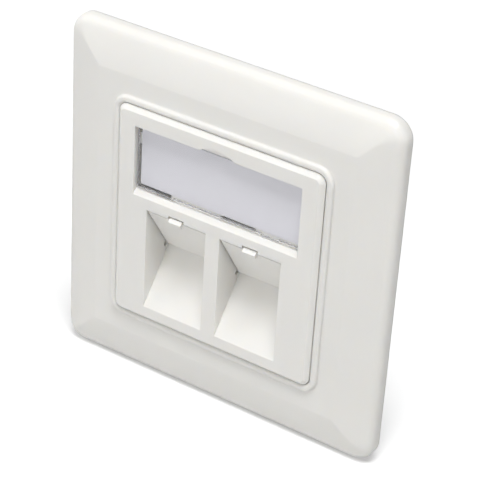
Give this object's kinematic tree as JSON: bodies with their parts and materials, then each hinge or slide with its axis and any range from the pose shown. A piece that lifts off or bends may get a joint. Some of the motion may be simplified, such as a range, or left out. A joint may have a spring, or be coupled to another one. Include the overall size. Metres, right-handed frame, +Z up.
{
  "type": "keystone faceplate",
  "caption": "Square flush-mounted data outlet plate with a soft-edged cover frame, label window and angled keystone ports behind hinged dust flaps.",
  "frame": {"origin": "centre of the plate in the plane of the wall surface, which the cover frame's skirt and the support ring's back lie on", "axes": "+Z up the wall, +X to the viewer's right, -Y out of the wall towards the viewer, +Y into the wall box"},
  "size_m": [0.08, 0.0235, 0.08],
  "materials": {
    "frame_white": "fine satin moulded thermoplastic, warm white",
    "plate_white": "fine satin moulded thermoplastic, warm white",
    "flap_white": "moulded thermoplastic, warm white",
    "clear_window": "clear moulded plastic",
    "card": "blank pale blue-grey card",
    "ring_steel": "bright zinc-plated sheet steel",
    "carrier_plastic": "dark grey glass-filled plastic",
    "screw_steel": "zinc-plated steel"
  },
  "bodies": {
    "faceplate": {"support_ring": "ring_steel", "module_carrier": "carrier_plastic", "carrier_screws": "screw_steel", "cover_frame": "frame_white", "central_plate": "plate_white", "plate_screws": "screw_steel", "label_card": "card"},
    "window": {"label_window": "clear_window"},
    "left_flap": {"dust_flap_left": "flap_white"},
    "right_flap": {"dust_flap_right": "flap_white"}
  },
  "joints": [
    {"name": "left_flap_hinge", "type": "hinge", "parent": "faceplate", "child": "left_flap", "pos_m": [-0.00925, 0.00187, -0.0088], "axis": [1, 0, 0], "range_deg": [0, 104]},
    {"name": "right_flap_hinge", "type": "hinge", "parent": "faceplate", "child": "right_flap", "pos_m": [0.00925, 0.00187, -0.0088], "axis": [1, 0, 0], "range_deg": [0, 104]},
    {"name": "window_slide", "type": "slide", "parent": "faceplate", "child": "window", "axis": [0, -1, 0], "range_m": [0, 0.02]}
  ]
}
